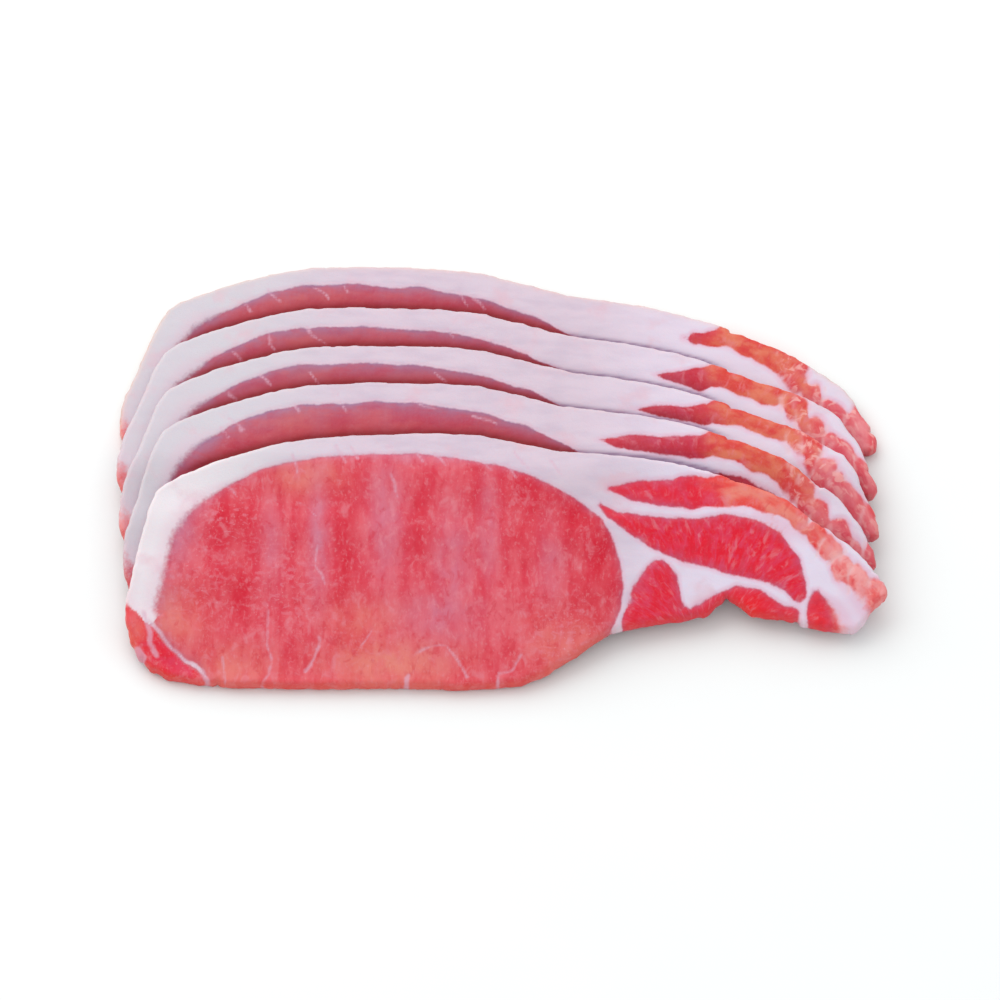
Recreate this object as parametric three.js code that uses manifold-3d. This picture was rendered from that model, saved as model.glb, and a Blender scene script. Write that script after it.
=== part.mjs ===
import * as THREE from 'three';
import { mergeVertices } from 'three/addons/utils/BufferGeometryUtils.js';
import Module from 'manifold-3d';

const wasm = await Module();
wasm.setup();

// Driving dimensions of one rasher of back bacon, in millimetres
const sliceThickness = 3.4;
const airGap = 0.4;
const seamGap = 0.3;

// How far in front of a slice's front edge the slice above it needs to come down
const drapeReach = 15;

// The front edge that the slice above rests on: straight before the loin, stepped back before the flank
const flankFrontStep = 11;
const frontBendStart = 10;
const frontBendEnd = 48;

// Half the length of a slice, and where its back corner on the loin side begins
const halfLength = 86;
const cornerStart = 50;
const cornerRun = 35;
const cornerHeight = 45;

// The cutting grid of the draped slabs
const gridStepX = 13;
const gridStepY = 5;
const gridHalfX = 91;
const gridMinY = -60;
const gridMaxY = 60;
const cutterBottom = -2;
const cutterTop = 24;

// How finely the curves are stepped: samples for each point that an outline is drawn through
const sliceSamples = 2;
const eyeSamples = 1.5;
const strandSamples = 1.25;
const mergeDistance = 1e-5;

// Outline of a slice seen from above, from the loin's front corner round the back edge to the flank's tip
const backEdge = [
  [-83.4, 6.4], [-85.6, 14], [-85.5, 20.4], [-83.9, 27], [-81.8, 35.6], [-79.1, 43.3], [-72.7, 47],
  [-58.2, 51.9], [-44.5, 55.2], [-24.1, 56.3], [-5.9, 56], [12.3, 52], [24.1, 51.1], [37.7, 49.6],
  [49.8, 46.7], [63.6, 41.2], [69.5, 36.5], [76.4, 32.4], [82.3, 26.5], [85.9, 20.9],
];
const frontEdge = [
  [83.2, 16.4], [78.9, 11.7], [71.8, 11.8], [62.3, 14.4], [55, 15.4], [49.8, 18.9], [45.5, 15.5],
  [35, 13.4], [24.1, 10.7], [12.7, 3.3], [3.6, -1.2], [-24.1, -1.5], [-60.5, -1.2], [-76.4, 0.9],
];

// Outline of the loin eye, which runs out over the slice's front edge
const eyeEdge = [
  [-79.8, 17.5], [-78, 26.5], [-75.3, 34.3], [-69, 40.3], [-60, 45.4], [-49, 49.2], [-36, 50.6],
  [-24, 50.9], [-10, 49.7], [3, 46.5], [13, 41.9], [20.5, 37.4], [24.4, 31.5], [26.2, 23],
  [25, 15.5], [21, 8.2], [15, -1], [3, -6], [-56, -6], [-61.5, -5], [-66.6, 2.2], [-73.6, 7.6], [-78.3, 13],
];

// Muscles of the flank and the chain, each by stations of centre and half width along its run
const chainStrand = [
  [-87.4, 17.1, 1.6], [-83.7, 10.5, 3.3], [-77.9, 3.3, 3.5], [-70.4, -0.9, 2.4], [-66.4, -3.4, 1],
];
const upperStrand = [
  [23, 43.2, 0.4], [31, 42.9, 2.3], [40, 42.9, 3.1], [49, 42.9, 2.9], [56, 41.9, 3.3],
  [62, 39.1, 3.6], [67.5, 34.4, 3.3], [71.5, 30.6, 2.7], [74.5, 27.6, 1.8], [75.8, 26.2, 0.8],
];
const middleStrand = [
  [21, 39.6, 0.4], [26, 36.3, 1.5], [33, 34.1, 3], [41, 32.2, 4.7], [49, 32, 6],
  [56, 30.1, 6.2], [62, 26.8, 4.8], [65.5, 22.3, 2.3], [66.2, 19.8, 0.8],
];
const innerStrand = [[30.5, 8, 4], [33, 15.5, 6.1], [34.2, 21.4, 5], [34.8, 25.4, 3.2], [35, 27.8, 0.8]];
const lowerStrand = [
  [36, 13.6, 2.6], [44, 15.6, 2.6], [50, 19.5, 2.4], [55, 18.5, 3.9], [60, 16.3, 3], [65, 14.5, 1.9],
];
const endStrand = [[69.8, 21.2, 0.6], [71, 17, 2.2], [72.5, 13, 3.2], [73.5, 9.5, 3.4]];
const tipStrand = [[77.2, 24.8, 0.8], [79.4, 22.8, 2.4], [83.4, 19.8, 3.2], [88, 17, 3.2]];

// How the flank's end flares back and its tip droops forward, along the slice
const flareStart = 58;
const flareTop = 72;
const droopStart = 76;
const droopEnd = 90;
const droopShare = 1.6;

// The stations of the upper flank muscle over which its shifted start fades out
const shiftedStations = 3;

// How each slice lies, from the bottom and back one to the top and front one:
// its place, its turn in degrees, how much its back edge bows, how far its loin corner is
// rounded in and its flank's end flared, its length against the front slice's, and where its
// upper flank muscle starts
const slices = [
  { side: -3.5, back: -4.7, turn: -4.4, bow: 1.4, corner: 3.2, flare: 2.8, stretch: 1.013, upperStart: 17 },
  { side: -3.8, back: -17.4, turn: -4.1, bow: 1.5, corner: 3.5, flare: 4.5, stretch: 1.012, upperStart: 10 },
  { side: -3, back: -29.2, turn: -3.6, bow: 1.6, corner: 3.5, flare: 4, stretch: 1.013, upperStart: 4 },
  { side: -2.6, back: -40.1, turn: -2.6, bow: 1.1, corner: 2.5, flare: 1.8, stretch: 1, upperStart: -2 },
  { side: 0, back: -53.4, turn: 0, bow: 0, corner: 0, flare: 0, stretch: 1, upperStart: 0 },
];

// Colours of the raw meat
const fatColour = 0xe9dfe6;
const eyeColour = 0xd9566a;
const chainColour = 0xdb3f4f;
const flankColour = 0xe0533f;
const deepFlankColour = 0xd4303f;
const fatRoughness = 0.45;
const leanRoughness = 0.35;

const { clamp, smoothstep, degToRad } = THREE.MathUtils;

// A point of a slice's own plan, warped to that slice's form and laid in the stack
function placed([u, v], slice) {
  const pull = clamp((-u - cornerStart) / cornerRun, 0, 1) * clamp(v / cornerHeight, 0, 1);
  const along = u * slice.stretch + slice.corner * pull;
  const end = smoothstep(u, flareStart, flareTop) - droopShare * smoothstep(u, droopStart, droopEnd);
  const across = v + slice.bow * (1 - 2 * (u / halfLength) ** 2) + slice.flare * end;
  const turned = new THREE.Vector2(along, across).rotateAround(new THREE.Vector2(), degToRad(slice.turn));
  return turned.add(new THREE.Vector2(slice.side, slice.back));
}

// The inverse of the placing without the warp, which is all that the drape needs
function inPlan(x, y, slice) {
  const offset = new THREE.Vector2(x - slice.side, y - slice.back);
  return offset.rotateAround(new THREE.Vector2(), -degToRad(slice.turn));
}

// Height of the underside of a slice: each slice below carries it, and it slopes down in front of each
function undersideHeight(x, y, level) {
  let height = 0;
  for (const below of slices.slice(0, level)) {
    const plan = inPlan(x, y, below);
    const front = flankFrontStep * smoothstep(plan.x, frontBendStart, frontBendEnd);
    height += (sliceThickness + airGap) * (1 - smoothstep(front - plan.y, 0, drapeReach));
  }
  return height;
}

// A closed smooth outline through a few points
function smoothOutline(points, perPoint) {
  const corners = points.map(([u, v]) => new THREE.Vector3(u, v, 0));
  const curve = new THREE.CatmullRomCurve3(corners, true, 'centripetal');
  const samples = curve.getPoints(Math.round(points.length * perPoint));
  return samples.slice(0, -1).map((p) => [p.x, p.y]);
}

// The outline of a muscle that swells and narrows along its run
function strandOutline(stations) {
  const centre = stations.map(([u, v]) => new THREE.Vector2(u, v));
  const normals = centre.map((_, i) => {
    const before = centre[Math.max(i - 1, 0)];
    const after = centre[Math.min(i + 1, centre.length - 1)];
    const run = after.clone().sub(before).normalize();
    return new THREE.Vector2(-run.y, run.x);
  });
  const side = (sign) => stations.map(([u, v, half], i) => [
    u + sign * half * normals[i].x,
    v + sign * half * normals[i].y,
  ]);
  return smoothOutline([...side(1), ...side(-1).reverse()], strandSamples);
}

// The same outline pushed outwards all round, which cuts the seam in the fat
function grown(outline, by) {
  const area = THREE.ShapeUtils.area(outline.map(([x, y]) => new THREE.Vector2(x, y)));
  const sense = Math.sign(area);
  return outline.map(([x, y], i) => {
    const before = outline[(i + outline.length - 1) % outline.length];
    const after = outline[(i + 1) % outline.length];
    const run = new THREE.Vector2(after[0] - before[0], after[1] - before[1]).normalize();
    return [x + sense * by * run.y, y - sense * by * run.x];
  });
}

// A closed solid from a closed geometry
function solidOf(geometry) {
  const bare = geometry.clone();
  bare.deleteAttribute('normal');
  bare.deleteAttribute('uv');
  const merged = mergeVertices(bare, mergeDistance);
  const vertProperties = new Float32Array(merged.attributes.position.array);
  const triVerts = new Uint32Array(merged.index.array);
  return new wasm.Manifold(new wasm.Mesh({ numProp: 3, vertProperties, triVerts }));
}

// The geometry of a solid after cutting
function geometryOf(solid) {
  const { vertProperties, triVerts } = solid.getMesh();
  const geometry = new THREE.BufferGeometry();
  geometry.setAttribute('position', new THREE.BufferAttribute(new Float32Array(vertProperties), 3));
  geometry.setIndex(new THREE.BufferAttribute(new Uint32Array(triVerts), 1));
  geometry.computeVertexNormals();
  return geometry;
}

// An upright cutter of an outline in a slice's plan, placed with the slice
function cutter(outline, slice) {
  const shape = new THREE.Shape(outline.map((point) => placed(point, slice)));
  const depth = cutterTop - cutterBottom;
  const geometry = new THREE.ExtrudeGeometry(shape, { depth, bevelEnabled: false });
  geometry.translate(0, 0, cutterBottom);
  return solidOf(geometry);
}

// The sheet of meat that a slice is cut from, draped over all slices below it
function drapedSlab(level) {
  const columns = Math.round((2 * gridHalfX) / gridStepX) + 1;
  const rows = Math.round((gridMaxY - gridMinY) / gridStepY) + 1;
  const positions = [];
  for (const lift of [0, sliceThickness]) {
    for (let row = 0; row < rows; row += 1) {
      for (let column = 0; column < columns; column += 1) {
        const x = -gridHalfX + column * gridStepX;
        const y = gridMinY + row * gridStepY;
        positions.push(x, y, undersideHeight(x, y, level) + lift);
      }
    }
  }
  const at = (column, row, layer) => (layer * rows + row) * columns + column;
  const faces = [];
  const quad = (a, b, c, d) => faces.push(a, b, c, a, c, d);
  for (let row = 0; row + 1 < rows; row += 1) {
    for (let column = 0; column + 1 < columns; column += 1) {
      const ring = [[column, row], [column + 1, row], [column + 1, row + 1], [column, row + 1]];
      const [a, b, c, d] = ring.map(([i, j]) => at(i, j, 1));
      quad(a, b, c, d);
      const [e, f, g, h] = ring.map(([i, j]) => at(i, j, 0));
      faces.push(e, g, f, e, h, g);
    }
  }
  const wall = (i, j, k, l) => quad(at(i, j, 0), at(k, l, 0), at(k, l, 1), at(i, j, 1));
  for (let column = 0; column + 1 < columns; column += 1) {
    wall(column, 0, column + 1, 0);
    wall(column + 1, rows - 1, column, rows - 1);
  }
  for (let row = 0; row + 1 < rows; row += 1) {
    wall(columns - 1, row, columns - 1, row + 1);
    wall(0, row + 1, 0, row);
  }
  const geometry = new THREE.BufferGeometry();
  geometry.setAttribute('position', new THREE.Float32BufferAttribute(positions, 3));
  geometry.setIndex(faces);
  return solidOf(geometry);
}

// The lean muscles of one slice: name, colour and outlines
function musclesOf(slice) {
  const shifted = (i) => slice.upperStart * Math.max(0, 1 - i / shiftedStations);
  const upper = upperStrand.map(([u, v, half], i) => [u + shifted(i), v, half]);
  return [
    { name: 'eye', colour: eyeColour, outlines: [smoothOutline(eyeEdge, eyeSamples)] },
    { name: 'chain', colour: chainColour, outlines: [strandOutline(chainStrand)] },
    { name: 'flank_upper', colour: flankColour, outlines: [strandOutline(upper)] },
    { name: 'flank_middle', colour: deepFlankColour, outlines: [strandOutline(middleStrand)] },
    {
      name: 'flank_lower',
      colour: deepFlankColour,
      outlines: [strandOutline(innerStrand), strandOutline(lowerStrand)],
    },
    { name: 'flank_end', colour: flankColour, outlines: [strandOutline(endStrand)] },
    { name: 'flank_tip', colour: flankColour, outlines: [strandOutline(tipStrand)] },
  ];
}

// One cutter for all outlines of a muscle
function muscleCutter(outlines, slice) {
  const cutters = outlines.map((outline) => cutter(outline, slice));
  return cutters.reduce((whole, next) => whole.add(next));
}

function meshOf(name, solid, colour, roughness) {
  const material = new THREE.MeshStandardMaterial({ color: colour, roughness, metalness: 0 });
  const mesh = new THREE.Mesh(geometryOf(solid), material);
  mesh.name = name;
  return mesh;
}

// One slice: its fat is what the muscles and the seams round them leave
function sliceMeshes(slice, level) {
  const label = `slice_${level + 1}`;
  const outline = smoothOutline([...backEdge, ...frontEdge], sliceSamples);
  const body = drapedSlab(level).intersect(cutter(outline, slice));
  const meshes = [];
  let fat = body;
  for (const { name, colour, outlines } of musclesOf(slice)) {
    const lean = body.intersect(muscleCutter(outlines, slice));
    const room = muscleCutter(outlines.map((edge) => grown(edge, seamGap)), slice);
    fat = fat.subtract(room);
    meshes.push(meshOf(`${label}_${name}`, lean, colour, leanRoughness));
  }
  meshes.unshift(meshOf(`${label}_fat`, fat, fatColour, fatRoughness));
  return meshes;
}

// The stack, standing on its underside with its middle over the origin
const stack = new THREE.Group();
slices.forEach((slice, level) => stack.add(...sliceMeshes(slice, level)));
const box = new THREE.Box3().setFromObject(stack);
const middle = box.getCenter(new THREE.Vector3());
stack.position.set(-middle.x, -middle.y, -box.min.z);

export default stack;
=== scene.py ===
import math

import bmesh
import bpy
import numpy as np
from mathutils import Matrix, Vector


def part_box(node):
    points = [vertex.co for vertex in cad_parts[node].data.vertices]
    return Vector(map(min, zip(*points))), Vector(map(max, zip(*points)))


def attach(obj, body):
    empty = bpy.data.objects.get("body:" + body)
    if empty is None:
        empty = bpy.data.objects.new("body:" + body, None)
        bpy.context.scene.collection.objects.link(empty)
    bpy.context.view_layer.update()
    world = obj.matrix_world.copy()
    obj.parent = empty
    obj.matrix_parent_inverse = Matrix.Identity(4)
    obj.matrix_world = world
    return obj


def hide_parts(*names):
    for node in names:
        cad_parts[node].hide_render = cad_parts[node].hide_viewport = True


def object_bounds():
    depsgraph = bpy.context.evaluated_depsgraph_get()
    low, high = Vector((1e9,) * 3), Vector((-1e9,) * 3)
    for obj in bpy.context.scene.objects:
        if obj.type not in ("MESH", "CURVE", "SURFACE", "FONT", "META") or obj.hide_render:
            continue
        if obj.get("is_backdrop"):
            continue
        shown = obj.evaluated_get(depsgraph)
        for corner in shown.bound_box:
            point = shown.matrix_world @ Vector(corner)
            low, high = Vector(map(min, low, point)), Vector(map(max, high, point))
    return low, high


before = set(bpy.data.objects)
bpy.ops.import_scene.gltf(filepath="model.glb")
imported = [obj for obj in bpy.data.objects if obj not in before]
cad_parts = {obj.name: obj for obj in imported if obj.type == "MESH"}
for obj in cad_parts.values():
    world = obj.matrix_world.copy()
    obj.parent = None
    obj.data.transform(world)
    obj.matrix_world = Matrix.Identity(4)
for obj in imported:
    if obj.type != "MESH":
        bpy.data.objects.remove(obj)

CAD_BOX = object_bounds()

# Units: shapes are worked out in millimetres, and meshes are in metres
MM = 0.001

# A distance that no line reaches, a length near nothing, and how level a top face is at least
FAR = 1e9
TINY = 1e-9
LEVEL_ENOUGH = 0.5

# The slices, from the bottom and back one to the top and front one
SLICE_COUNT = 5
FRONT = SLICE_COUNT - 1
SLICE_THICKNESS = 3.4
AIR_GAP = 0.4
SEAM_GAP = 0.3
SEAM_PROBES = (0.42, 1.05)
SEAM_SHARE = 0.55
BORDER_SLACK = 0.5
MERGE_DISTANCE = 0.01

# How each slice lies, as in the construction: its place, its turn in degrees, how much its back
# edge bows and its flank's end flares
STACK_SHIFT = (1.16, 0.27)
SLICE_LAYS = [
    {"side": -3.5, "back": -4.7, "turn": -4.4, "bow": 1.4, "flare": 2.8},
    {"side": -3.8, "back": -17.4, "turn": -4.1, "bow": 1.5, "flare": 4.5},
    {"side": -3.0, "back": -29.2, "turn": -3.6, "bow": 1.6, "flare": 4.0},
    {"side": -2.6, "back": -40.1, "turn": -2.6, "bow": 1.1, "flare": 1.8},
    {"side": 0.0, "back": -53.4, "turn": 0.0, "bow": 0.0, "flare": 0.0},
]
HALF_LENGTH = 86.0
FLARE_OUT = (58.0, 72.0)
FLARE_BACK = (76.0, 90.0)
FLARE_RETURN = 1.6
DRAPE_REACH = 15.0
FLANK_FRONT_STEP = 11.0
FRONT_BEND = (10.0, 48.0)

# The photo's view: the camera's height in degrees, its lens, the pixels for a millimetre, and the
# point it looks at
CAMERA_ELEVATION = 62.0
CAMERA_LENS = 400.0
CAMERA_REACH = 50.0
SENSOR_WIDTH = 36.0
IMAGE_SIZE = 1000
PIXELS_PER_MM = 4.4
CAMERA_TARGET = (-0.2, -4.23, 0.0)

# The muscles that the frame holds, each with its colour character from 0 to 1:
# warm goes from pink to orange, deep goes from pale to dark red
MUSCLES = {
    "eye": {"warm": 0.0, "deep": 0.0},
    "chain": {"warm": 0.0, "deep": 0.9},
    "flank_upper": {"warm": 0.0, "deep": 0.9},
    "flank_middle": {"warm": 0.0, "deep": 1.0},
    "flank_lower": {"warm": 0.0, "deep": 0.95},
    "flank_end": {"warm": 0.05, "deep": 1.0},
    "flank_tip": {"warm": 0.8, "deep": 0.3},
}

# Brightness of a level white face in the scene's light, against which colours are given
LIGHT_LEVEL = 1.32

# Mesh spacing in the plan, the least step across the border in shares of it, and the rounded edge
FRONT_SPACING = 0.42
REAR_SPACING = 0.6
GRID_MARGIN = 3.0
LEAST_CROSSING = 0.12
RIM_WIDTH = 1.1
RIM_STEPS = 9
RIM_SQUARENESS = 2.6

# How much of the top face's relief the rim takes over, and how much of it shows below, turned over
RIM_RELIEF = 0.7
UNDERSIDE_RELIEF = -0.3

# How far the edges that face the viewer are rounded back from the construction's outline
FRONT_EDGE_BACK = 1.7

# The flank bends round this point of a slice's plan, which gives the run of its fibres
FLANK_PIVOT = (45.0, 10.0)
FLANK_RADIUS = 34.0
STRAND_RING = (28.0, 31.0)

# How far apart the slices read the material's patterns
PATTERN_LIFT = 40.0

# The random fields: their seeds, and shifts that read one field in several unrelated places
FIELD_SEED = 100
RELIEF_SEED = 300
CRAG_SEED = 500
WANDER_SHIFT = 30.0
WAVE_SHIFT = 50.0
COMB_SHIFT = 70.0
STEP_SHIFT = 90.0

# Waves of the outer edge, the marked lines and the lean's border: amount and cell size
EDGE_WAVE = (0.16, 6.0)
EDGE_GRAIN = (0.10, 1.3)
END_WAVE = (0.45, 3.4)
END_WAVE_RUN = (66.0, 76.0)
LINE_WANDER = (0.5, 3.0)
LEAN_WAVE = (0.30, 5.0)
LEAN_STEPS = (0.45, 7.0, 30.0)
LEAN_COMB = (0.9, 1.3, 4.0)
LEAN_COMB_RUN = (26.0, 20.0)
SHADE_WAVE = (3.0, 4.0, 3.0)
RIM_CRAG = (0.12, 1.8)
RIM_CRAG_STEP = 3.0

# Relief of the cut face: the lean's dome and the groove round it, as height and width, then the
# sunk veins and walls, and waves as amount and cell size
FACE_SINK = 0.08
DOME = (0.16, 1.4)
GROOVE = (0.16, 0.4)
GROOVE_PLACE = -0.2
VEIN_GROOVE = (0.10, 0.4)
WALL_GROOVE = 0.12
RELIEF_CHANGE = (-0.2, 0.5)
LEAN_BANDS = (0.07, 5.5, 28.0)
LEAN_GRAIN = (0.05, 1.6)
LEAN_FIBRES = (0.05, 6.0, 0.9)
FAT_WAVE = (0.05, 7.0)

# The fields of a slice that its material reads
SHADER_FIELDS = [
    "lean", "vein", "wall", "warm", "deep", "flank", "contact_shade", "veil", "lilac", "red", "salmon", "flecks",
    "rear", "front", "pale", "rim", "tan", "pink", "end",
]


# Smooth random fields

class Noise:
    """A seeded random field that repeats only after many cells, shifted so that cells count up."""

    CELLS = 128
    SHIFT = 1000.0

    def __init__(self, seed):
        self.table = np.random.default_rng(seed).uniform(-1.0, 1.0, (self.CELLS, self.CELLS))

    def sample(self, u, v, cell_u, cell_v=None):
        a = u / cell_u + self.SHIFT
        b = v / (cell_v or cell_u) + self.SHIFT
        i, j = np.floor(a).astype(int), np.floor(b).astype(int)
        s, t = soft(a - i), soft(b - j)
        i, j, n = i % self.CELLS, j % self.CELLS, self.CELLS
        near = self.table[j, i] * (1 - s) + self.table[j, (i + 1) % n] * s
        far = self.table[(j + 1) % n, i] * (1 - s) + self.table[(j + 1) % n, (i + 1) % n] * s
        return near * (1 - t) + far * t

    def layers(self, u, v, cell, count=3):
        total, weight = 0.0, 1.0
        for _ in range(count):
            total = total + weight * self.sample(u, v, cell)
            cell, weight = cell * 0.5, weight * 0.5
        return total

    def wave(self, u, v, amount, cell_u, cell_v=None):
        """A field's value, as a shift of up to an amount."""
        return amount * self.sample(u, v, cell_u, cell_v)


def soft(t):
    """The smooth step from 0 to 1."""
    t = np.clip(t, 0.0, 1.0)
    return t * t * (3.0 - 2.0 * t)


def step_between(value, low, high):
    return soft((value - low) / (high - low))


# The plan of a slice, read from the frame

def plan_segments(node):
    """The edge of a node of the frame seen from above, as segments."""
    solid = bmesh.new()
    solid.from_mesh(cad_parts[node].data)
    bmesh.ops.remove_doubles(solid, verts=solid.verts, dist=MERGE_DISTANCE * MM)
    solid.normal_update()
    segments = []
    for edge in solid.edges:
        facing = [face.normal.z > LEVEL_ENOUGH for face in edge.link_faces]
        if facing in ([True, False], [False, True]):
            segments.append([(v.co.x / MM, v.co.y / MM) for v in edge.verts])
    solid.free()
    return np.array(segments)


def outer_segments(parts):
    """Of the edges of all parts of a slice, those that no neighbour faces across a seam."""
    outer = []
    for segments in parts:
        first, last = segments[:, 0], segments[:, 1]
        run = last - first
        run = run / (np.linalg.norm(run, axis=1, keepdims=True) + TINY)
        across = np.stack([run[:, 1], -run[:, 0]], 1)
        middle = (first + last) / 2
        is_outer = np.zeros(len(segments), dtype=bool)
        for side in (1.0, -1.0):
            is_open = np.ones(len(segments), dtype=bool)
            for reach in SEAM_PROBES:
                probe = middle + side * reach * across
                is_open &= np.min([signed_distance(*probe.T, part) for part in parts], axis=0) > 0
            is_outer |= is_open
        outer.append(segments[is_outer])
    return np.concatenate(outer)


def signed_distance(x, y, segments):
    """Distance to the segments, negative inside."""
    nearest = np.full(x.shape, FAR)
    inside = np.zeros(x.shape, dtype=bool)
    for (ax, ay), (bx, by) in segments:
        dx, dy = bx - ax, by - ay
        along = np.clip(((x - ax) * dx + (y - ay) * dy) / (dx * dx + dy * dy + 1e-12), 0.0, 1.0)
        gap = (x - ax - along * dx) ** 2 + (y - ay - along * dy) ** 2
        np.minimum(nearest, gap, out=nearest)
        if ay != by:
            crosses = ((ay > y) != (by > y)) & (x < dx * (y - ay) / dy + ax)
            inside ^= crosses
    distance = np.sqrt(nearest)
    return np.where(inside, -distance, distance)


def line_distance(x, y, points):
    """Distance to an open line through a few points."""
    nearest = np.full(x.shape, FAR)
    for (ax, ay), (bx, by) in zip(points[:-1], points[1:]):
        dx, dy = bx - ax, by - ay
        along = np.clip(((x - ax) * dx + (y - ay) * dy) / (dx * dx + dy * dy), 0.0, 1.0)
        nearest = np.minimum(nearest, np.hypot(x - ax - along * dx, y - ay - along * dy))
    return nearest


def to_plan(x, y, lay):
    """From the stack's frame to a slice's own plan."""
    dx = x - STACK_SHIFT[0] - lay["side"]
    dy = y - STACK_SHIFT[1] - lay["back"]
    c, s = math.cos(math.radians(lay["turn"])), math.sin(math.radians(lay["turn"]))
    return dx * c + dy * s, dy * c - dx * s


def to_pattern(u, v, lay):
    """From a slice's plan to the plan of the front slice, which the patterns are drawn in."""
    end = step_between(u, *FLARE_OUT) - FLARE_RETURN * step_between(u, *FLARE_BACK)
    return u, v - lay["bow"] * (1.0 - 2.0 * (u / HALF_LENGTH) ** 2) - lay["flare"] * end


def underside(x, y, level):
    """Height of a slice's underside, draped over every slice below it."""
    height = np.zeros_like(x)
    for lay in SLICE_LAYS[:level]:
        u, v = to_plan(x, y, lay)
        front = FLANK_FRONT_STEP * step_between(u, *FRONT_BEND)
        height += (SLICE_THICKNESS + AIR_GAP) * (1.0 - step_between(front - v, 0.0, DRAPE_REACH))
    return height


def on_slice(level, marks):
    """Places marked on the photo, as pixels from the left and the top, in the pattern's plan."""
    column, row = np.array(marks, dtype=float).T
    tilt = math.radians(CAMERA_ELEVATION)
    x = (column - IMAGE_SIZE / 2) / PIXELS_PER_MM + CAMERA_TARGET[0]
    rise = (IMAGE_SIZE / 2 - row) / PIXELS_PER_MM
    height = np.full(len(marks), SLICE_THICKNESS)
    for _ in range(MARK_ROUNDS):
        y = CAMERA_TARGET[1] + (rise - height * math.cos(tilt)) / math.sin(tilt)
        height = 0.5 * (height + underside(x, y, level) + SLICE_THICKNESS)
    u, v = to_pattern(*to_plan(x, y, SLICE_LAYS[level]), SLICE_LAYS[level])
    return list(zip(u, v))


# Fine white veins of the front slice's loin, as points in its plan and a half width
VEINS = [
    ([(-42.0, 10.6), (-43.2, 6.0), (-45.4, 3.6)], 0.02),
    ([(-53.6, 16.4), (-53.3, 9.6), (-53.0, 2.7), (-55.5, -0.8)], -0.08),
    ([(-13.2, 8.6), (-10.5, 5.1), (-8.6, 1.8)], -0.04),
    ([(-13.2, 8.6), (-16.4, 8.3), (-20.0, 7.3)], -0.16),
    ([(3.2, 6.1), (1.8, 3.4), (-1.4, 2.4), (-2.0, -0.8)], -0.02),
    ([(-22.3, 1.6), (-22.3, -1.2)], 0.35),
    ([(-42.2, 31.0), (-42.9, 26.5), (-41.0, 22.0)], -0.12),
    ([(-64.0, 6.4), (-63.0, 1.0)], -0.06),
    ([(-30.0, 12.0), (-33.0, 8.0)], -0.16),
    ([(-26.0, 46.0), (-24.5, 41.0)], -0.14),
    ([(-47.0, 40.0), (-43.0, 37.0)], -0.16),
    ([(-83.0, 8.4), (-81.8, 6.4)], 0.75),
    ([(-81.6, 16.2), (-80.9, 13.2), (-80.2, 9.9), (-78.6, 6.9)], 0.30),
    ([(-80.8, 14.9), (-79.8, 13.9), (-77.5, 11.0), (-74.5, 7.7), (-70.7, 5.1), (-67.7, 2.0)], 0.15),
    ([(-68.6, 3.2), (-67.2, 1.2)], 0.3),
]

# Short pale nicks from the fat cap down into the loin of each slice, marked on the photo, and how far
# they reach up into the fat beyond the mark
NICK_MARKS = [
    [
        [(270, 291), (280, 301)], [(316, 289), (327, 298)], [(460, 293), (468, 305)],
        [(477, 300), (484, 309)], [(345, 288), (348, 292)], [(246, 306), (250, 311)],
    ],
    [
        [(268, 336), (275, 350)], [(309, 331), (324, 344)], [(450, 330), (454, 335)],
        [(484, 337), (494, 343)], [(236, 355), (240, 360)],
    ],
    [
        [(265, 379), (269, 384)], [(313, 376), (320, 385)], [(440, 375), (447, 380)],
        [(233, 396), (237, 401)],
    ],
    [
        [(234, 422), (244, 431)], [(297, 407), (300, 412)], [(412, 402), (434, 409)],
        [(479, 418), (497, 424)], [(340, 400), (346, 412)], [(225, 432), (229, 437)],
    ],
    [
        [(339, 450), (347, 463)], [(295, 459), (297, 472)], [(519, 455), (528, 468)],
        [(554, 466), (559, 475)], [(233, 490), (240, 496)], [(422, 456), (425, 461)],
        [(440, 459), (445, 465)], [(487, 464), (493, 471)], [(510, 468), (517, 476)],
        [(354, 452), (357, 457)],
    ],
]
NICK_REACH = 1.4

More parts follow.
